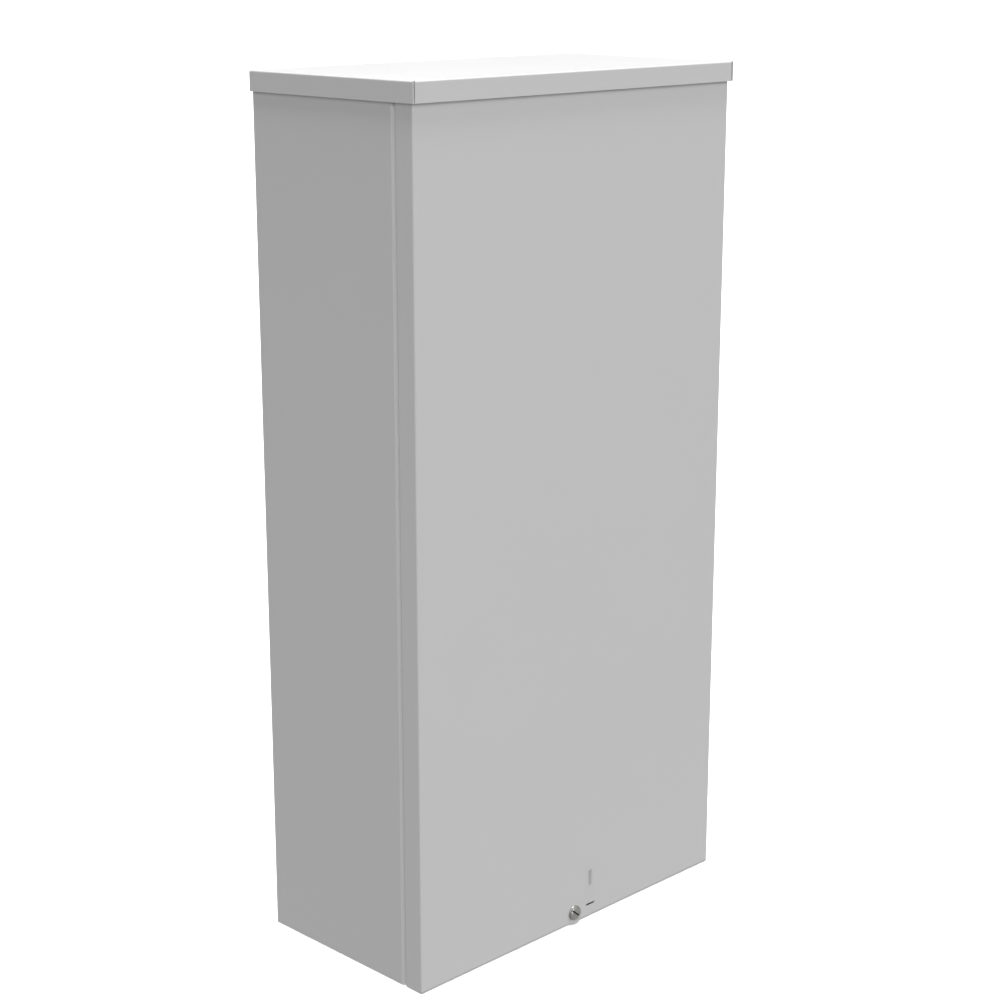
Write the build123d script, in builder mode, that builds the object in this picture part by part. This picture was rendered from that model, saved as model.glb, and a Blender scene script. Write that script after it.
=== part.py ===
from build123d import *
import os

# Roadside utility cabinet: a rainproof box of folded steel sheet with a slip-on front cover.
# X runs to the right seen from the front, Y to the back and Z up. The origin is the middle of
# the box round the whole cabinet, on the surface that it stands on. All sizes in millimetres.

os.makedirs("parts", exist_ok=True)

# Whole cabinet
body_width = 609.6
body_depth = 312.2
overall_height = 1228.7

# Sheet thicknesses and the inside radius of every fold
body_sheet = 1.9
cover_sheet = 1.9
roof_sheet = 1.9
panel_sheet = 2.7
stiffener_sheet = 1.5
bend_inside = 0.4

# Drip roof
roof_gap_front = 3.5
roof_gap_side = 2.1
roof_flange = 27.8
roof_seam = 1.8
roof_seam_relief = 0.2
roof_back_overhang = 0.0

# Front cover
cover_flange = 31.0
cover_ground_gap = 0.5
cover_roof_gap = 5.4
cover_screw_height = 16.5
cover_screw_hole = 10.0
seal_slot_length = 19.0
seal_slot_width = 3.2
seal_slot_x = 35.2
seal_slot_height = 19.0
lug_x = 32.8
lug_bottom = 48.0
lug_height = 23.5
lug_rise = 4.2
lug_foot = 7.4
lug_hook = 6.0

# Stepped front edge of the body, which the cover's flanges go round
lip_gap = 2.5
lip_step_gap = 8.4
cover_seat_gap = 1.5
lip_return = 14.0

# Welding flanges at the top of the body
top_flange = 16.0
top_flange_relief = 14.0

# Bottom pan with its front sill
pan_flange = 25.0
sill_gap = 10.1
sill_height = 38.0
sill_return = 12.0
pan_relief = 2.0
knockout_size = 62.0
knockout_shear = 0.9
knockout_x = 150.0
knockout_y = 30.0

# Header rail across the top of the door opening
header_drop = 38.0
header_top = 22.0
header_return = 14.0

# Wall fixing holes
wall_hole = 11.0
wall_hole_inset_x = 34.8
wall_hole_inset_z = 55.15

# Mounting panel and its fastenings
panel_margin_x = 54.8
panel_margin_bottom = 85.0
panel_margin_top = 85.3
panel_corner = 6.0
panel_bolt_inset = 25.0
panel_hole_clearance = 0.75
stud_diameter = 9.5
spacer_outside = 19.0
spacer_length = 14.0
spacer_clearance = 0.35
lock_washer_outside = 17.0
lock_washer_thickness = 1.6
nut_across_flats = 14.3
nut_thickness = 8.2
stud_beyond_nut = 3.0
thread_clearance = 0.25

# Earthing stud, lug and nut
earth_inset_x = 114.8
earth_z = 52.0
earth_stud_diameter = 7.9
earth_stud_length = 24.0
earth_tongue_thickness = 4.0
earth_lug_width = 18.0
earth_lug_block = 20.0
earth_lug_depth = 18.0
earth_wire_hole = 10.0
earth_screw_diameter = 8.0
earth_screw_length = 12.0
earth_screw_entry = 3.5
earth_screw_slot = 1.6
earth_nut_across_flats = 12.7
earth_nut_thickness = 6.8
earth_nut_clearance = 1.0

# Captive cover screw, its washer, keeper and nut
screw_diameter = 7.9
screw_neck = 6.0
screw_head = 20.0
screw_head_height = 3.4
screw_head_chamfer = 1.1
screw_slot_width = 2.2
screw_slot_depth = 1.8
screw_slot_angle = -40.0
screw_point = 1.2
screw_beyond_nut = 1.0
screw_spare_travel = 0.3
washer_outside = 22.5
washer_thickness = 1.9
washer_land = 0.9
keeper_outside = 15.0
keeper_thickness = 1.2
keeper_clearance = 0.2
neck_clearance = 0.1
weld_nut_outside = 19.0
weld_nut_thickness = 6.5
sill_screw_hole = 10.5

# Stiffener behind the cover
stiffener_width = 70.0
stiffener_crown = 34.0
stiffener_depth = 16.0
stiffener_bottom = 118.0
stiffener_top_gap = 50.0

# Places worked out from the sizes above
half_width = body_width / 2
roof_overhang = roof_gap_front + roof_sheet
back = (body_depth + roof_overhang - roof_back_overhang) / 2
face = back - body_depth
body_bend = bend_inside + body_sheet
cover_bend = bend_inside + cover_sheet
roof_bend = bend_inside + roof_sheet
roof_underside = overall_height - roof_sheet
lip_step = cover_sheet + lip_gap
step_back = face + cover_flange + lip_step_gap
step_front = step_back - lip_step
lip_front = face + cover_sheet + cover_seat_gap
lip_half = half_width - lip_step
inner_half = half_width - body_sheet
lip_inner_half = lip_half - body_sheet
inner_back = back - body_sheet
pan_step = cover_ground_gap + cover_sheet + cover_seat_gap
sill_front = face + cover_sheet + sill_gap
sill_back = sill_front + body_sheet
sill_top = pan_step + sill_height
wall_top = roof_underside - body_bend
cover_top = roof_underside - cover_roof_gap
header_front = lip_front + body_sheet
earth_x = half_width - earth_inset_x
panel_back = inner_back - spacer_length
panel_front = panel_back - panel_sheet
nut_back = panel_front - lock_washer_thickness
nut_front = nut_back - nut_thickness


def folded(points, radii, thickness, side):
    """Cross-section of a folded strip of sheet, given the line of its outer face."""
    with BuildSketch() as strip:
        with BuildLine():
            FilletPolyline(*points, radius=radii)
            offset(amount=thickness, side=side)
        make_face()
    return strip.sketch


def finish(piece, name):
    """Label a finished piece and write it to its own file."""
    piece.part.label = name
    export_step(piece.part, f"parts/{name}.step")


# Body: back and both sides folded from one sheet, with stepped lips along the front edges
right_side = [
    (lip_half - lip_return, lip_front),
    (lip_half, lip_front),
    (lip_half, step_front),
    (half_width, step_back),
    (half_width, back),
]
left_side = [(-x, y) for x, y in reversed(right_side)]
side_bends = [body_bend, bend_inside, body_bend, body_bend]
wall_hole_pitch_x = body_width - 2 * wall_hole_inset_x
wall_hole_pitch_z = overall_height - 2 * wall_hole_inset_z
side_flange_front = step_back + top_flange_relief
side_flange_back = inner_back - top_flange_relief

with BuildPart() as body_wrapper:
    with BuildSketch():
        add(folded(right_side + left_side, side_bends + side_bends[::-1], body_sheet, Side.LEFT))
    extrude(amount=wall_top)
    # The lips stop above the cover's bottom flange
    with BuildSketch(Plane.XY):
        with Locations((0, (lip_front + step_front) / 2)):
            Rectangle(body_width, step_front - lip_front, align=(Align.CENTER, Align.CENTER))
    extrude(amount=pan_step, mode=Mode.SUBTRACT)
    # Flanges folded in at the top, where the roof is spot-welded on
    for end in (-1, 1):
        outline = [(end * half_width, wall_top - body_sheet), (end * half_width, roof_underside),
                   (end * (half_width - top_flange), roof_underside)]
        with BuildSketch(Plane.XZ.offset(-side_flange_back)):
            add(folded(outline, body_bend, body_sheet, Side.LEFT if end > 0 else Side.RIGHT))
        extrude(amount=side_flange_back - side_flange_front)
    outline = [(back, wall_top - body_sheet), (back, roof_underside), (back - top_flange, roof_underside)]
    with BuildSketch(Plane.YZ):
        add(folded(outline, body_bend, body_sheet, Side.LEFT))
    extrude(amount=inner_half - top_flange_relief, both=True)
    # Holes for the wall or pole-bracket bolts
    with BuildSketch(Plane.XZ.offset(-back)):
        with Locations((0, overall_height / 2)):
            with GridLocations(wall_hole_pitch_x, wall_hole_pitch_z, 2, 2):
                Circle(wall_hole / 2)
    extrude(amount=body_sheet, mode=Mode.SUBTRACT)
finish(body_wrapper, "body_wrapper")

# Bottom pan: floor, welding flanges, and a sill that stands up behind the cover
floor_outline = [(-inner_half, pan_flange), (-inner_half, 0), (inner_half, 0), (inner_half, pan_flange)]
sill_outline = [(inner_back, pan_flange), (inner_back, 0), (step_back, 0),
                (step_back - pan_step, pan_step), (sill_front, pan_step), (sill_front, sill_top),
                (sill_front + sill_return, sill_top)]

with BuildPart() as bottom_pan:
    with BuildSketch(Plane.XZ.offset(-(inner_back - body_bend))):
        add(folded(floor_outline, body_bend, body_sheet, Side.LEFT))
    extrude(amount=inner_back - body_bend - step_back - pan_relief)
    with BuildSketch(Plane.YZ):
        add(folded(sill_outline, [body_bend, body_bend, bend_inside, body_bend, body_bend],
                   body_sheet, Side.RIGHT))
    extrude(amount=lip_inner_half, both=True)
    # Knockouts: discs half sheared upwards, so that their edges stay joined
    with BuildSketch(Plane.XY.offset(body_sheet)):
        with Locations((-knockout_x, knockout_y), (knockout_x, knockout_y)):
            Circle(knockout_size / 2)
    extrude(amount=knockout_shear)
    with BuildSketch(Plane.XY):
        with Locations((-knockout_x, knockout_y), (knockout_x, knockout_y)):
            Circle(knockout_size / 2)
    extrude(amount=knockout_shear, mode=Mode.SUBTRACT)
    # Hole for the cover screw and slot for the seal strap, in line with those of the cover
    with BuildSketch(Plane.XZ.offset(-sill_back)):
        with Locations((0, cover_screw_height)):
            Circle(sill_screw_hole / 2)
        with Locations((seal_slot_x, seal_slot_height)):
            SlotOverall(seal_slot_length, seal_slot_width)
    extrude(amount=body_sheet, mode=Mode.SUBTRACT)
finish(bottom_pan, "bottom_pan")

# Header rail: a channel under the front of the roof, behind the lips
header_outline = [(header_front + header_top, roof_underside), (header_front, roof_underside),
                  (header_front, roof_underside - header_drop),
                  (header_front + header_return, roof_underside - header_drop)]

with BuildPart() as header_rail:
    with BuildSketch(Plane.YZ):
        add(folded(header_outline, body_bend, body_sheet, Side.LEFT))
    extrude(amount=lip_inner_half - bend_inside, both=True)
finish(header_rail, "header_rail")

# Roof: one sheet with its front and sides folded down past the body, as a drip edge
roof_half = half_width + roof_gap_side + roof_sheet
roof_front = face - roof_overhang
roof_back = back + roof_back_overhang
roof_bottom = overall_height - roof_flange
side_fold = roof_half - roof_bend
front_half = side_fold - roof_seam
notch_half = side_fold - roof_seam_relief
roof_sides = [(-roof_half, roof_bottom), (-roof_half, overall_height), (roof_half, overall_height),
              (roof_half, roof_bottom)]
roof_fold = [(roof_front, roof_bottom), (roof_front, overall_height),
             (roof_front + 2 * roof_bend, overall_height)]

with BuildPart() as roof_cap:
    with BuildSketch(Plane.XZ.offset(-roof_back)):
        add(folded(roof_sides, roof_bend, roof_sheet, Side.RIGHT))
    extrude(amount=roof_back - roof_front)
    # The top sheet is cut back at the front, where the front flange folds down between two seams
    with BuildSketch(Plane.XY.offset(overall_height)):
        with Locations((0, roof_front)):
            Rectangle(2 * notch_half, 2 * roof_bend)
    extrude(amount=-roof_sheet, mode=Mode.SUBTRACT)
    with BuildSketch(Plane.YZ):
        add(folded(roof_fold, roof_bend, roof_sheet, Side.RIGHT))
    extrude(amount=front_half, both=True)
finish(roof_cap, "roof_cap")

# Front cover: a pan with side and bottom flanges, whose plain top edge goes up behind the roof
lug_top = lug_bottom + lug_height
lug_outline = [
    (face + cover_sheet, lug_bottom),
    (face + cover_sheet, lug_top),
    (face, lug_top),
    (face - lug_rise, lug_top + lug_hook),
    (face - lug_rise, lug_bottom + lug_foot),
    (face, lug_bottom),
]

with BuildPart() as cover:
    with Locations((0, face, cover_ground_gap)):
        Box(body_width, cover_flange, cover_top - cover_ground_gap,
            align=(Align.CENTER, Align.MIN, Align.MIN))
    front_edges = cover.faces().sort_by(Axis.Y)[0].edges().sort_by(Axis.Z)[:-1]
    fillet(front_edges, cover_bend)
    open_back = cover.faces().sort_by(Axis.Y)[-1]
    open_top = cover.faces().sort_by(Axis.Z)[-1]
    offset(amount=-cover_sheet, openings=[open_back, open_top])
    # Hooked lug beside the seal slot, lanced out of the window at its right
    with BuildSketch(Plane.YZ.offset(lug_x)):
        Polygon(*lug_outline, align=None)
    extrude(amount=cover_sheet)
    with BuildSketch(Plane.XZ.offset(-face)):
        with Locations((lug_x + cover_sheet, lug_bottom + lug_foot)):
            Rectangle(lug_rise, lug_height - lug_foot, align=(Align.MIN, Align.MIN))
    extrude(amount=-cover_sheet, mode=Mode.SUBTRACT)
    with BuildSketch(Plane.XZ.offset(-face)):
        with Locations((0, cover_screw_height)):
            Circle(cover_screw_hole / 2)
        with Locations((seal_slot_x, seal_slot_height)):
            SlotOverall(seal_slot_length, seal_slot_width)
    extrude(amount=-cover_sheet, mode=Mode.SUBTRACT)
finish(cover, "cover")

# Stiffener: a hat section spot-welded up the middle of the cover's inside
hat_base = face + cover_sheet
hat_crown = hat_base + stiffener_depth
hat_outline = [
    (-stiffener_width / 2, hat_base + stiffener_sheet),
    (-stiffener_crown / 2 - stiffener_sheet, hat_base + stiffener_sheet),
    (-stiffener_crown / 2, hat_crown),
    (stiffener_crown / 2, hat_crown),
    (stiffener_crown / 2 + stiffener_sheet, hat_base + stiffener_sheet),
    (stiffener_width / 2, hat_base + stiffener_sheet),
]
hat_bend = bend_inside + stiffener_sheet

with BuildPart() as cover_stiffener:
    with BuildSketch(Plane.XY.offset(stiffener_bottom)):
        add(folded(hat_outline, [bend_inside, hat_bend, hat_bend, bend_inside], stiffener_sheet,
                   Side.RIGHT))
    extrude(amount=cover_top - stiffener_top_gap - stiffener_bottom)
finish(cover_stiffener, "cover_stiffener")

# Mounting panel: a flat plate that stands off the back wall on four studs
panel_width = body_width - 2 * panel_margin_x
panel_height = overall_height - panel_margin_bottom - panel_margin_top
panel_middle = panel_margin_bottom + panel_height / 2
stud_pitch_x = panel_width - 2 * panel_bolt_inset
stud_pitch_z = panel_height - 2 * panel_bolt_inset

with BuildPart() as mounting_panel:
    with BuildSketch(Plane.XZ.offset(-panel_back)):
        with Locations((0, panel_middle)):
            RectangleRounded(panel_width, panel_height, panel_corner)
            with GridLocations(stud_pitch_x, stud_pitch_z, 2, 2):
                Circle(stud_diameter / 2 + panel_hole_clearance, mode=Mode.SUBTRACT)
    extrude(amount=panel_sheet)
finish(mounting_panel, "mounting_panel")

# Four studs welded to the back wall
stud_length = inner_back - nut_front + stud_beyond_nut
with BuildPart() as panel_studs:
    with BuildSketch(Plane.XZ.offset(-inner_back)):
        with Locations((0, panel_middle)):
            with GridLocations(stud_pitch_x, stud_pitch_z, 2, 2):
                Circle(stud_diameter / 2)
    extrude(amount=stud_length)
finish(panel_studs, "panel_studs")

# A tube over each stud keeps the panel off the wall
with BuildPart() as panel_spacers:
    with BuildSketch(Plane.XZ.offset(-inner_back)):
        with Locations((0, panel_middle)):
            with GridLocations(stud_pitch_x, stud_pitch_z, 2, 2):
                Circle(spacer_outside / 2)
                Circle(stud_diameter / 2 + spacer_clearance, mode=Mode.SUBTRACT)
    extrude(amount=spacer_length)
finish(panel_spacers, "panel_spacers")

# Lock washers and hexagon nuts in front of the panel
with BuildPart() as panel_lock_washers:
    with BuildSketch(Plane.XZ.offset(-panel_front)):
        with Locations((0, panel_middle)):
            with GridLocations(stud_pitch_x, stud_pitch_z, 2, 2):
                Circle(lock_washer_outside / 2)
                Circle(stud_diameter / 2 + spacer_clearance, mode=Mode.SUBTRACT)
    extrude(amount=lock_washer_thickness)
finish(panel_lock_washers, "panel_lock_washers")

with BuildPart() as panel_nuts:
    with BuildSketch(Plane.XZ.offset(-nut_back)):
        with Locations((0, panel_middle)):
            with GridLocations(stud_pitch_x, stud_pitch_z, 2, 2):
                RegularPolygon(nut_across_flats / 2, 6, major_radius=False)
                Circle(stud_diameter / 2 + thread_clearance, mode=Mode.SUBTRACT)
    extrude(amount=nut_thickness)
finish(panel_nuts, "panel_nuts")

# Earthing: a stud welded to the back wall, a box lug on it and its nut
earth_plane = Plane.XZ.offset(-inner_back)
with BuildPart() as earth_stud:
    with BuildSketch(earth_plane):
        with Locations((earth_x, earth_z)):
            Circle(earth_stud_diameter / 2)
    extrude(amount=earth_stud_length)
finish(earth_stud, "earth_stud")

tongue_end = earth_nut_across_flats / 2 + earth_nut_clearance
block_x = earth_x + tongue_end + earth_lug_block / 2
with BuildPart() as earth_lug:
    with BuildSketch(earth_plane):
        with Locations((earth_x, earth_z)):
            Circle(earth_lug_width / 2)
            Rectangle(tongue_end, earth_lug_width, align=(Align.MIN, Align.CENTER))
            Circle(earth_stud_diameter / 2 + thread_clearance, mode=Mode.SUBTRACT)
    extrude(amount=earth_tongue_thickness)
    with BuildSketch(earth_plane):
        with Locations((block_x, earth_z)):
            Rectangle(earth_lug_block, earth_lug_width)
    extrude(amount=earth_lug_depth)
    # The wire goes in from below and the screw clamps it from the front
    with BuildSketch(Plane.XY.offset(earth_z)):
        with Locations((block_x, inner_back - earth_lug_depth / 2)):
            Circle(earth_wire_hole / 2)
    extrude(amount=earth_lug_width, both=True, mode=Mode.SUBTRACT)
    with BuildSketch(Plane.XZ.offset(-(inner_back - earth_lug_depth / 2))):
        with Locations((block_x, earth_z)):
            Circle(earth_screw_diameter / 2 + thread_clearance)
    extrude(amount=earth_lug_depth, mode=Mode.SUBTRACT)
finish(earth_lug, "earth_lug")

earth_screw_end = inner_back - earth_lug_depth + earth_screw_entry
with BuildPart() as earth_lug_screw:
    with BuildSketch(Plane.XZ.offset(-earth_screw_end)):
        with Locations((block_x, earth_z)):
            Circle(earth_screw_diameter / 2)
    extrude(amount=earth_screw_length)
    with BuildSketch(Plane.XZ.offset(-(earth_screw_end - earth_screw_length))):
        with Locations((block_x, earth_z)):
            Rectangle(earth_screw_diameter, earth_screw_slot)
    extrude(amount=-earth_screw_slot, mode=Mode.SUBTRACT)
finish(earth_lug_screw, "earth_lug_screw")

with BuildPart() as earth_nut:
    with BuildSketch(Plane.XZ.offset(-(inner_back - earth_tongue_thickness))):
        with Locations((earth_x, earth_z)):
            RegularPolygon(earth_nut_across_flats / 2, 6, major_radius=False)
            Circle(earth_stud_diameter / 2 + thread_clearance, mode=Mode.SUBTRACT)
    extrude(amount=earth_nut_thickness)
finish(earth_nut, "earth_nut")

# Weld nut behind the sill, which takes the cover screw
weld_nut_back = sill_back + weld_nut_thickness
with BuildPart() as weld_nut:
    with BuildSketch(Plane.XZ.offset(-weld_nut_back)):
        with Locations((0, cover_screw_height)):
            RegularPolygon(weld_nut_outside / 2, 6)
            Circle(screw_diameter / 2 + thread_clearance, mode=Mode.SUBTRACT)
    extrude(amount=weld_nut_thickness)
finish(weld_nut, "weld_nut")

# Captive screw: a slotted head, a neck that is free in the keeper, and a threaded end
screw_tip = weld_nut_back + screw_beyond_nut
screw_travel = screw_tip - sill_back + screw_spare_travel
keeper_back = face + cover_sheet + keeper_thickness
thread_start = keeper_back + screw_travel + keeper_clearance
head_back = face - washer_thickness
head_front = head_back - screw_head_height

with BuildPart() as cover_screw:
    with BuildSketch(Plane.YZ) as screw_profile:
        with BuildLine():
            Polyline((head_front, cover_screw_height),
                     (head_front, cover_screw_height + screw_head / 2),
                     (head_back, cover_screw_height + screw_head / 2),
                     (head_back, cover_screw_height + screw_neck / 2),
                     (thread_start, cover_screw_height + screw_neck / 2),
                     (thread_start, cover_screw_height + screw_diameter / 2),
                     (screw_tip - screw_point, cover_screw_height + screw_diameter / 2),
                     (screw_tip, cover_screw_height + screw_diameter / 2 - screw_point),
                     (screw_tip, cover_screw_height), close=True)
        make_face()
        head_rim = screw_profile.vertices().group_by(Axis.Y)[-1].sort_by(Axis.X)[0]
        chamfer(head_rim, screw_head_chamfer)
    revolve(axis=Axis((0, 0, cover_screw_height), (0, 1, 0)))
    with BuildSketch(Plane.XZ.offset(-head_front)):
        with Locations((0, cover_screw_height)):
            Rectangle(screw_head, screw_slot_width, rotation=screw_slot_angle)
    extrude(amount=-screw_slot_depth, mode=Mode.SUBTRACT)
finish(cover_screw, "cover_screw")

# Cup washer under the head, dished so that its rim bears on the cover
with BuildPart() as cup_washer:
    with BuildSketch(Plane.YZ):
        with BuildLine():
            Polyline((face, cover_screw_height + washer_outside / 2),
                     (face, cover_screw_height + screw_neck / 2 + neck_clearance),
                     (head_back, cover_screw_height + screw_neck / 2 + neck_clearance),
                     (head_back, cover_screw_height + screw_head / 2 + washer_land),
                     (face - washer_land, cover_screw_height + washer_outside / 2),
                     close=True)
        make_face()
    revolve(axis=Axis((0, 0, cover_screw_height), (0, 1, 0)))
finish(cup_washer, "cup_washer")

# Keeper ring behind the cover, which the thread can't pass
with BuildPart() as screw_keeper:
    with BuildSketch(Plane.XZ.offset(-keeper_back)):
        with Locations((0, cover_screw_height)):
            Circle(keeper_outside / 2)
            Circle(screw_neck / 2 + neck_clearance, mode=Mode.SUBTRACT)
    extrude(amount=keeper_thickness)
finish(screw_keeper, "screw_keeper")
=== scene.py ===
import math

import bmesh
import bpy
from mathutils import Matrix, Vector


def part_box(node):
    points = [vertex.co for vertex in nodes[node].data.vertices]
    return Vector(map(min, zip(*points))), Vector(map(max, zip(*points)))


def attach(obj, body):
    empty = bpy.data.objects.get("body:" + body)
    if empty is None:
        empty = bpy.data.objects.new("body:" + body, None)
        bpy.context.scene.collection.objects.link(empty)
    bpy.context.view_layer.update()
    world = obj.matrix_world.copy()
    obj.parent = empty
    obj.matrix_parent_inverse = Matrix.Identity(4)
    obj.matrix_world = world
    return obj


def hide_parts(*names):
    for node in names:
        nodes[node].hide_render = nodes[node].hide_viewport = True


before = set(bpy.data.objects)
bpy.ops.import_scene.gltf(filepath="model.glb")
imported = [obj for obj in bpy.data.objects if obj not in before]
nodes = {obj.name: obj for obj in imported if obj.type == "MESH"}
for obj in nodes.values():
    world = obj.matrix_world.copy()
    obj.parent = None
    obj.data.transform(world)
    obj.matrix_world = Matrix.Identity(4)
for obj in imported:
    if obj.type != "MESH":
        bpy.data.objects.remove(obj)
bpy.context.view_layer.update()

# The photograph's camera: a 75 mm lens, 45 degrees to the left of the front and 15 degrees up,
# aimed at the middle of the cabinet's height.
aim = Vector((0, 0, 0.6137))
azimuth = math.radians(-45)
elevation = math.radians(15)
distance = 3.0057
camera_data = bpy.data.cameras.new("camera")
camera_data.lens = 75
camera_data.sensor_width = 36
camera_data.clip_end = 100
camera = bpy.data.objects.new("camera", camera_data)
back_vector = Vector((math.sin(azimuth) * math.cos(elevation), -math.cos(azimuth) * math.cos(elevation),
                      math.sin(elevation)))
camera.location = aim + back_vector * distance
camera.rotation_euler = (-back_vector).to_track_quat("-Z", "Y").to_euler()
bpy.context.collection.objects.link(camera)
bpy.context.scene.camera = camera
bpy.context.scene.view_settings.view_transform = "Standard"

# Studio: a dim sky, two broad lamps at the height of a person and a strong one overhead. The left lamp
# stands where the camera does, so the grooves that the camera sees are lit. The roof is the palest.
world = bpy.data.worlds.new("studio")
world.use_nodes = True
bpy.context.scene.world = world
wn = world.node_tree.nodes
wl = world.node_tree.links
sky = wn["Background"]
sky.inputs["Color"].default_value = (1, 1, 1, 1)
sky.inputs["Strength"].default_value = 0.06
seen = wn.new("ShaderNodeBackground")
seen.inputs["Color"].default_value = (1, 1, 1, 1)
seen.inputs["Strength"].default_value = 1.0
path = wn.new("ShaderNodeLightPath")
mix_world = wn.new("ShaderNodeMixShader")
wl.new(path.outputs["Is Camera Ray"], mix_world.inputs[0])
wl.new(sky.outputs[0], mix_world.inputs[1])
wl.new(seen.outputs[0], mix_world.inputs[2])
wl.new(mix_world.outputs[0], wn["World Output"].inputs["Surface"])


def sun(name, left_of_front, height, spread, strength):
    """A soft sun, placed by its angles in degrees left of the front and above the ground."""
    data = bpy.data.lights.new(name, "SUN")
    data.angle = math.radians(spread)
    data.energy = strength
    light = bpy.data.objects.new(name, data)
    turn = math.radians(-left_of_front)
    rise = math.radians(height)
    towards = Vector((math.sin(turn) * math.cos(rise), -math.cos(turn) * math.cos(rise), math.sin(rise)))
    light.rotation_euler = towards.to_track_quat("Z", "Y").to_euler()
    bpy.context.collection.objects.link(light)


sun("left_lamp", left_of_front=45, height=25, spread=40, strength=1.62)
sun("right_lamp", left_of_front=-35, height=20, spread=40, strength=1.18)
sun("overhead", left_of_front=0, height=90, spread=28, strength=6.4)

# Floor: a pale sheet that the camera sees as white, darkened only where the cabinet shades it.
# To the cabinet it is an evenly lit surface, so that no wall gets paler towards the ground.
floor_half_width = 60
floor_drop = 0.0005
floor_mesh = bpy.data.meshes.new("floor")
floor_bm = bmesh.new()
bmesh.ops.create_grid(floor_bm, x_segments=1, y_segments=1, size=floor_half_width)
bmesh.ops.translate(floor_bm, verts=floor_bm.verts, vec=(0, 0, -floor_drop))
floor_bm.to_mesh(floor_mesh)
floor_bm.free()
floor = bpy.data.objects.new("floor", floor_mesh)
bpy.context.collection.objects.link(floor)
floor_paint = bpy.data.materials.new("floor_paint")
floor_paint.use_nodes = True
fn = floor_paint.node_tree.nodes
fl = floor_paint.node_tree.links
floor_shader = fn["Principled BSDF"]
floor_shader.inputs["Base Color"].default_value = (0.86, 0.86, 0.86, 1)
floor_shader.inputs["Roughness"].default_value = 0.9
floor_shader.inputs["Specular IOR Level"].default_value = 0.1
floor_even = fn.new("ShaderNodeEmission")
floor_even.inputs["Strength"].default_value = 0.51
floor_path = fn.new("ShaderNodeLightPath")
floor_switch = fn.new("ShaderNodeMixShader")
fl.new(floor_path.outputs["Is Camera Ray"], floor_switch.inputs[0])
fl.new(floor_even.outputs[0], floor_switch.inputs[1])
fl.new(floor_shader.outputs[0], floor_switch.inputs[2])
fl.new(floor_switch.outputs[0], fn["Material Output"].inputs["Surface"])
floor_mesh.materials.append(floor_paint)

# Body wrapper: back and sides in one folded sheet, powder-coated light grey after welding.
# The powder leaves a fine, even texture and a very slightly cloudy tone. All the sheets share its group.
coat = bpy.data.node_groups.new("powder_coat", "ShaderNodeTree")
for socket, kind, value in (("Tone", "NodeSocketColor", (0.6, 0.6, 0.6, 1)),
                            ("Cloud", "NodeSocketFloat", 0.03),
                            ("Grain Scale", "NodeSocketFloat", 900.0),
                            ("Grain Height", "NodeSocketFloat", 0.25),
                            ("Roughness", "NodeSocketFloat", 0.45)):
    made = coat.interface.new_socket(name=socket, in_out="INPUT", socket_type=kind)
    made.default_value = value
for socket, kind in (("Color", "NodeSocketColor"), ("Roughness", "NodeSocketFloat"),
                     ("Normal", "NodeSocketVector")):
    coat.interface.new_socket(name=socket, in_out="OUTPUT", socket_type=kind)
cn = coat.nodes
cl = coat.links
coat_in = cn.new("NodeGroupInput")
coat_out = cn.new("NodeGroupOutput")
coat_place = cn.new("ShaderNodeTexCoord")
cloud = cn.new("ShaderNodeTexNoise")
cloud.inputs["Scale"].default_value = 5.0
cloud.inputs["Detail"].default_value = 3.0
cl.new(coat_place.outputs["Object"], cloud.inputs["Vector"])
cloud_shift = cn.new("ShaderNodeMath")
cloud_shift.operation = "SUBTRACT"
cloud_shift.inputs[1].default_value = 0.5
cl.new(cloud.outputs["Fac"], cloud_shift.inputs[0])
cloud_size = cn.new("ShaderNodeMath")
cloud_size.operation = "MULTIPLY"
cl.new(cloud_shift.outputs[0], cloud_size.inputs[0])
cl.new(coat_in.outputs["Cloud"], cloud_size.inputs[1])
cloud_gain = cn.new("ShaderNodeMath")
cloud_gain.operation = "ADD"
cloud_gain.inputs[1].default_value = 1.0
cl.new(cloud_size.outputs[0], cloud_gain.inputs[0])
tone = cn.new("ShaderNodeVectorMath")
tone.operation = "SCALE"
cl.new(coat_in.outputs["Tone"], tone.inputs[0])
cl.new(cloud_gain.outputs[0], tone.inputs["Scale"])
cl.new(tone.outputs["Vector"], coat_out.inputs["Color"])
grain = cn.new("ShaderNodeTexNoise")
grain.inputs["Detail"].default_value = 2.0
cl.new(coat_place.outputs["Object"], grain.inputs["Vector"])
cl.new(coat_in.outputs["Grain Scale"], grain.inputs["Scale"])
grain_bump = cn.new("ShaderNodeBump")
grain_bump.inputs["Distance"].default_value = 0.0002
cl.new(coat_in.outputs["Grain Height"], grain_bump.inputs["Strength"])
cl.new(grain.outputs["Fac"], grain_bump.inputs["Height"])
cl.new(grain_bump.outputs["Normal"], coat_out.inputs["Normal"])
rough_spread = cn.new("ShaderNodeMath")
rough_spread.operation = "MULTIPLY_ADD"
rough_spread.inputs[1].default_value = 0.12
cl.new(cloud_shift.outputs[0], rough_spread.inputs[0])
cl.new(coat_in.outputs["Roughness"], rough_spread.inputs[2])
cl.new(rough_spread.outputs[0], coat_out.inputs["Roughness"])


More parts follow.
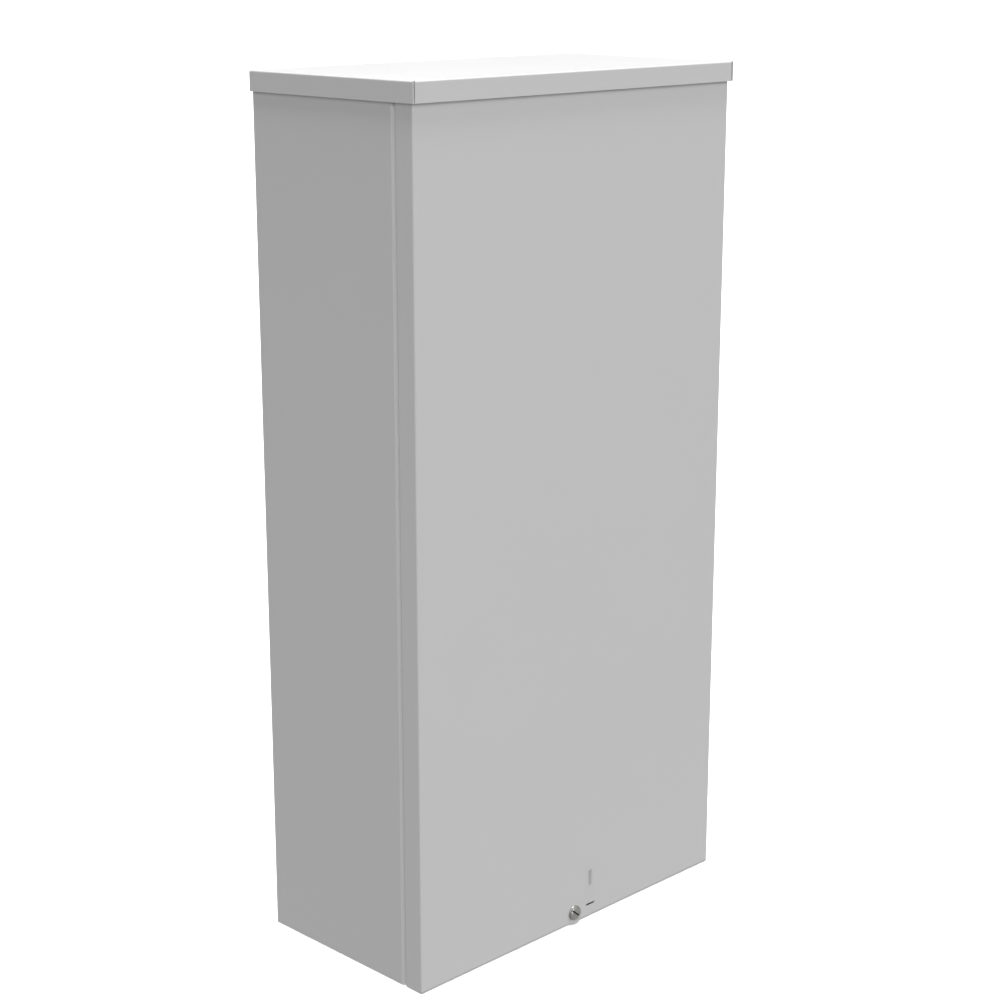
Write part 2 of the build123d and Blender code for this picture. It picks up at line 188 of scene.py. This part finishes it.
def powder_coated(name, color, cloud_amount, roughness, grain_height):
    """A coated steel finish with its own tone, gloss and texture."""
    paint = bpy.data.materials.new(name)
    paint.use_nodes = True
    shader = paint.node_tree.nodes["Principled BSDF"]
    group = paint.node_tree.nodes.new("ShaderNodeGroup")
    group.node_tree = coat
    group.inputs["Tone"].default_value = (*color, 1)
    group.inputs["Cloud"].default_value = cloud_amount
    group.inputs["Roughness"].default_value = roughness
    group.inputs["Grain Height"].default_value = grain_height
    paint.node_tree.links.new(group.outputs["Color"], shader.inputs["Base Color"])
    paint.node_tree.links.new(group.outputs["Roughness"], shader.inputs["Roughness"])
    paint.node_tree.links.new(group.outputs["Normal"], shader.inputs["Normal"])
    shader.inputs["Specular IOR Level"].default_value = 0.4
    return paint


def finish_with(material, name):
    """Gives a CAD node its finish."""
    mesh = nodes[name].data
    mesh.materials.clear()
    mesh.materials.append(material)


cabinet_grey = powder_coated("cabinet_grey", (0.50, 0.50, 0.50), cloud_amount=0.02, roughness=0.42,
                             grain_height=0.25)
finish_with(cabinet_grey, "body_wrapper")

# Bottom pan: the floor and the sill behind the cover, folded from one sheet and spot-welded inside the
# wrapper. It was coated with it, so it has the same grey.
finish_with(cabinet_grey, "bottom_pan")

# Header rail: a folded steel channel welded between the lips, under the front of the roof. The powder
# reaches it less well from inside, so it is a little rougher.
rail_grey = powder_coated("rail_grey", (0.49, 0.49, 0.49), cloud_amount=0.04, roughness=0.5,
                          grain_height=0.35)
finish_with(rail_grey, "header_rail")

# Roof: one steel sheet folded down at the front and the sides, spot-welded to the wrapper's flanges
# before coating. The seams at the front corners stay open.
finish_with(cabinet_grey, "roof_cap")

# Front cover: a folded steel pan, coated by itself on the same line as the body. Its lug is lanced
# out of the sheet and its screw hole and seal slot are punched.
finish_with(cabinet_grey, "cover")

# Stiffener: a hat section of thinner steel, spot-welded to the cover's inside and coated with it.
# It is only seen when the cover is off.
finish_with(rail_grey, "cover_stiffener")

# Mounting panel: a flat steel plate in white baked enamel, smoother than the powder coat. It lies on
# its spacers and is held by the four nuts.
panel_white = powder_coated("panel_white", (0.74, 0.74, 0.72), cloud_amount=0.02, roughness=0.3,
                            grain_height=0.08)
finish_with(panel_white, "mounting_panel")

# Panel studs: four lengths of steel with bright zinc plating and a rolled thread, welded to the back
# wall. The plating is slightly mottled, and finely scratched from tumbling in the barrel.
plating = bpy.data.node_groups.new("plating", "ShaderNodeTree")
for socket, kind, value in (("Tone", "NodeSocketColor", (0.6, 0.6, 0.62, 1)),
                            ("Mottle Scale", "NodeSocketFloat", 260.0),
                            ("Smooth", "NodeSocketFloat", 0.22),
                            ("Rough", "NodeSocketFloat", 0.4),
                            ("Scratch Height", "NodeSocketFloat", 0.15)):
    made = plating.interface.new_socket(name=socket, in_out="INPUT", socket_type=kind)
    made.default_value = value
for socket, kind in (("Color", "NodeSocketColor"), ("Roughness", "NodeSocketFloat"),
                     ("Normal", "NodeSocketVector")):
    plating.interface.new_socket(name=socket, in_out="OUTPUT", socket_type=kind)
pn = plating.nodes
pl = plating.links
plating_in = pn.new("NodeGroupInput")
plating_out = pn.new("NodeGroupOutput")
plating_place = pn.new("ShaderNodeTexCoord")
mottle = pn.new("ShaderNodeTexNoise")
mottle.inputs["Detail"].default_value = 4.0
pl.new(plating_place.outputs["Object"], mottle.inputs["Vector"])
pl.new(plating_in.outputs["Mottle Scale"], mottle.inputs["Scale"])
mottle_gain = pn.new("ShaderNodeMapRange")
mottle_gain.inputs["From Min"].default_value = 0.3
mottle_gain.inputs["From Max"].default_value = 0.7
mottle_gain.inputs["To Min"].default_value = 0.88
mottle_gain.inputs["To Max"].default_value = 1.08
pl.new(mottle.outputs["Fac"], mottle_gain.inputs["Value"])
plated_tone = pn.new("ShaderNodeVectorMath")
plated_tone.operation = "SCALE"
pl.new(plating_in.outputs["Tone"], plated_tone.inputs[0])
pl.new(mottle_gain.outputs["Result"], plated_tone.inputs["Scale"])
pl.new(plated_tone.outputs["Vector"], plating_out.inputs["Color"])
gloss = pn.new("ShaderNodeMapRange")
pl.new(mottle.outputs["Fac"], gloss.inputs["Value"])
pl.new(plating_in.outputs["Smooth"], gloss.inputs["To Min"])
pl.new(plating_in.outputs["Rough"], gloss.inputs["To Max"])
pl.new(gloss.outputs["Result"], plating_out.inputs["Roughness"])
scratch_stretch = pn.new("ShaderNodeMapping")
scratch_stretch.inputs["Scale"].default_value = (1.0, 0.15, 1.0)
pl.new(plating_place.outputs["Object"], scratch_stretch.inputs["Vector"])
scratches = pn.new("ShaderNodeTexNoise")
scratches.inputs["Scale"].default_value = 1500.0
scratches.inputs["Detail"].default_value = 2.0
pl.new(scratch_stretch.outputs["Vector"], scratches.inputs["Vector"])
scratch_bump = pn.new("ShaderNodeBump")
scratch_bump.inputs["Distance"].default_value = 0.0001
pl.new(plating_in.outputs["Scratch Height"], scratch_bump.inputs["Strength"])
pl.new(scratches.outputs["Fac"], scratch_bump.inputs["Height"])
pl.new(scratch_bump.outputs["Normal"], plating_out.inputs["Normal"])


def plated(name, color, smooth, rough, scratch_height):
    """A plated or bare metal finish with its own tone and gloss."""
    metal = bpy.data.materials.new(name)
    metal.use_nodes = True
    shader = metal.node_tree.nodes["Principled BSDF"]
    shader.inputs["Metallic"].default_value = 1.0
    group = metal.node_tree.nodes.new("ShaderNodeGroup")
    group.node_tree = plating
    group.inputs["Tone"].default_value = (*color, 1)
    group.inputs["Smooth"].default_value = smooth
    group.inputs["Rough"].default_value = rough
    group.inputs["Scratch Height"].default_value = scratch_height
    metal.node_tree.links.new(group.outputs["Color"], shader.inputs["Base Color"])
    metal.node_tree.links.new(group.outputs["Roughness"], shader.inputs["Roughness"])
    metal.node_tree.links.new(group.outputs["Normal"], shader.inputs["Normal"])
    return metal


def thread(name, body, x, z, start, end, radius, pitch, material):
    """A rolled thread: a ridge wound along Y round a shank, from start to end, that rides on a body."""
    steps_per_turn = 24
    sunk = 0.00005
    proud = 0.0002
    crest_share = 0.4
    ridge_share = 0.8
    turns = (end - start) / pitch - 1
    ridge = bmesh.new()
    root = radius - sunk
    crest = radius + proud
    corners = [ridge.verts.new((x + root, start, z)),
               ridge.verts.new((x + crest, start + pitch * crest_share, z)),
               ridge.verts.new((x + root, start + pitch * ridge_share, z))]
    cap = ridge.faces.new(corners)
    bmesh.ops.spin(ridge, geom=[cap], cent=(x, start, z), axis=(0, 1, 0),
                   dvec=(0, pitch / steps_per_turn, 0), angle=math.tau * turns,
                   steps=int(steps_per_turn * turns), use_merge=False, use_duplicate=False)
    bmesh.ops.recalc_face_normals(ridge, faces=ridge.faces)
    mesh = bpy.data.meshes.new(name)
    ridge.to_mesh(mesh)
    ridge.free()
    mesh.shade_smooth()
    mesh.set_sharp_from_angle(angle=math.radians(35))
    mesh.materials.append(material)
    piece = bpy.data.objects.new(name, mesh)
    bpy.context.collection.objects.link(piece)
    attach(piece, body)


zinc = plated("zinc_plate", (0.60, 0.61, 0.63), smooth=0.24, rough=0.42, scratch_height=0.15)
finish_with(zinc, "panel_studs")
stud_low, stud_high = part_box("panel_studs")
stud_radius = 0.00475
tip_gap = 0.0003
for row, stud_z in enumerate((stud_low[2] + stud_radius, stud_high[2] - stud_radius)):
    for column, stud_x in enumerate((stud_low[0] + stud_radius, stud_high[0] - stud_radius)):
        thread(f"panel_stud_thread_{row}{column}", "cabinet", stud_x, stud_z, start=stud_low[1] + tip_gap,
               end=stud_low[1] + 0.0145, radius=stud_radius, pitch=0.0015, material=zinc)

# Panel spacers: sawn lengths of zinc-plated steel tube, one over each stud. They are a little duller
# and more scratched than the studs.
tube_zinc = plated("tube_zinc", (0.55, 0.56, 0.58), smooth=0.32, rough=0.5, scratch_height=0.3)
finish_with(tube_zinc, "panel_spacers")

# Lock washers: hardened steel rings with thin zinc plating, pressed flat under the panel's nuts. The
# hardening leaves them darker than the nuts.
washer_zinc = plated("washer_zinc", (0.42, 0.43, 0.45), smooth=0.3, rough=0.45, scratch_height=0.2)
finish_with(washer_zinc, "panel_lock_washers")


def softened(name, radius, body, material):
    """A merged copy of a CAD node with its edges rounded, which is shown in the node's place."""
    merge_distance = 0.00001
    flat_angle = math.radians(1)
    edge_angle = math.radians(28)
    shape = bmesh.new()
    shape.from_mesh(nodes[name].data)
    bmesh.ops.remove_doubles(shape, verts=shape.verts, dist=merge_distance)
    bmesh.ops.dissolve_limit(shape, angle_limit=flat_angle, verts=shape.verts, edges=shape.edges,
                             use_dissolve_boundaries=False)
    sharp = [edge for edge in shape.edges
             if len(edge.link_faces) == 2 and edge.calc_face_angle() > edge_angle]
    bmesh.ops.bevel(shape, geom=sharp, offset=radius, offset_type="OFFSET", segments=3, profile=0.5,
                    affect="EDGES", material=-1, clamp_overlap=True)
    mesh = bpy.data.meshes.new(name + "_soft")
    shape.to_mesh(mesh)
    shape.free()
    mesh.shade_smooth()
    mesh.set_sharp_from_angle(angle=math.radians(35))
    mesh.materials.append(material)
    piece = bpy.data.objects.new(name + "_soft", mesh)
    bpy.context.collection.objects.link(piece)
    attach(piece, body)
    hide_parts(name)


# Panel nuts: hexagon nuts of zinc-plated steel that clamp the panel on its studs. Their corners are
# rounded by the forging.
softened("panel_nuts", radius=0.0005, body="cabinet", material=zinc)

# Earthing stud: a shorter zinc-plated stud, welded to the back wall near the bottom. Its thread stands
# clear of the nut.
finish_with(zinc, "earth_stud")
earth_low, earth_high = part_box("earth_stud")
earth_middle = (earth_low + earth_high) / 2
earth_radius = (earth_high[0] - earth_low[0]) / 2
thread("earth_stud_thread", "cabinet", earth_middle[0], earth_middle[2], start=earth_low[1] + tip_gap,
       end=earth_low[1] + 0.0125, radius=earth_radius, pitch=0.00125, material=zinc)

# Earthing lug: a tinned aluminium extrusion, sawn to length, with a bore for the wire and a tapped hole
# for its screw. The saw leaves a fine grain on it.
aluminium = plated("aluminium_lug", (0.72, 0.72, 0.73), smooth=0.34, rough=0.55, scratch_height=0.5)
softened("earth_lug", radius=0.0003, body="cabinet", material=aluminium)

# Clamp screw of the lug: a short slotted screw of zinc-plated steel, turned in from the front on the
# wire. Its edges are rounded a little.
softened("earth_lug_screw", radius=0.0003, body="cabinet", material=zinc)

# Earthing nut: holds the lug's tongue on its stud. It is a smaller hexagon nut of the same
# zinc-plated steel as the panel's.
softened("earth_nut", radius=0.0005, body="cabinet", material=zinc)

# Weld nut: a hexagon nut of dull steel, welded behind the sill. The cover screw turns into it, and
# little of the powder coat reaches it there.
nut_grey = plated("nut_grey", (0.36, 0.36, 0.36), smooth=0.45, rough=0.6, scratch_height=0.4)
softened("weld_nut", radius=0.0004, body="cabinet", material=nut_grey)

# Keeper: a spring-steel ring pushed over the screw's neck behind the cover, so that the screw can't
# fall out when it is undone.
finish_with(washer_zinc, "screw_keeper")

# Cover screw: turned from steel and nickel-plated, with a wide slotted head, a plain neck and a thread
# on its end only. The inside of its slot is painted near-black as painted shade.
nickel = plated("nickel", (0.44, 0.435, 0.42), smooth=0.34, rough=0.44, scratch_height=0.1)
screw_low, screw_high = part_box("cover_screw")
screw_z = (screw_low[2] + screw_high[2]) / 2
# Painted shade in the slot: near the axis and behind the head's face, the colour darkens with depth to
# near-black.
slot_reach = 0.0086
slot_shade_start = 0.0004
slot_shade_full = 0.0012
nickel_painted_slot_shade = nickel.copy()
nickel_painted_slot_shade.name = "nickel_painted_slot_shade"
sn = nickel_painted_slot_shade.node_tree.nodes
sl = nickel_painted_slot_shade.node_tree.links
screw_shader = sn["Principled BSDF"]
screw_plating = next(node for node in sn if node.type == "GROUP")
screw_place = sn.new("ShaderNodeTexCoord")
screw_parts = sn.new("ShaderNodeSeparateXYZ")
sl.new(screw_place.outputs["Object"], screw_parts.inputs["Vector"])
slot_depth = sn.new("ShaderNodeMapRange")
slot_depth.inputs["From Min"].default_value = screw_low[1] + slot_shade_start
slot_depth.inputs["From Max"].default_value = screw_low[1] + slot_shade_full
sl.new(screw_parts.outputs["Y"], slot_depth.inputs["Value"])
across = sn.new("ShaderNodeVectorMath")
across.operation = "MULTIPLY"
across.inputs[1].default_value = (1, 0, 1)
sl.new(screw_place.outputs["Object"], across.inputs[0])
from_axis = sn.new("ShaderNodeVectorMath")
from_axis.operation = "DISTANCE"
from_axis.inputs[1].default_value = (0, 0, screw_z)
sl.new(across.outputs["Vector"], from_axis.inputs[0])
near_axis = sn.new("ShaderNodeMath")
near_axis.operation = "LESS_THAN"
near_axis.inputs[1].default_value = slot_reach
sl.new(from_axis.outputs["Value"], near_axis.inputs[0])
slot_shade_mask = sn.new("ShaderNodeMath")
slot_shade_mask.operation = "MULTIPLY"
sl.new(slot_depth.outputs["Result"], slot_shade_mask.inputs[0])
sl.new(near_axis.outputs[0], slot_shade_mask.inputs[1])
# A mix node's colour sockets share their names with its other sockets, so they go by number.
mix_amount = 0
mix_first = 6
mix_second = 7
mix_result = 2
# Mixes the painted shade colour into the nickel where the slot mask is set.
slot_shade_color = sn.new("ShaderNodeMix")
slot_shade_color.data_type = "RGBA"
slot_shade_color.inputs[mix_second].default_value = (0.03, 0.028, 0.025, 1)
sl.new(slot_shade_mask.outputs[0], slot_shade_color.inputs[mix_amount])
sl.new(screw_plating.outputs["Color"], slot_shade_color.inputs[mix_first])
sl.new(slot_shade_color.outputs[mix_result], screw_shader.inputs["Base Color"])
softened("cover_screw", radius=0.0008, body="screw", material=nickel_painted_slot_shade)
screw_radius = 0.00395
screw_pitch = 0.001411
thread("cover_screw_thread", "screw", 0, screw_z, start=screw_high[1] - 0.0090,
       end=screw_high[1] - 0.0013, radius=screw_radius, pitch=screw_pitch, material=nickel)

# Cup washer: a dished ring of the same nickel-plated steel, whose rim bears on the cover. It slides
# out with the screw.
softened("cup_washer", radius=0.0004, body="washer", material=nickel)
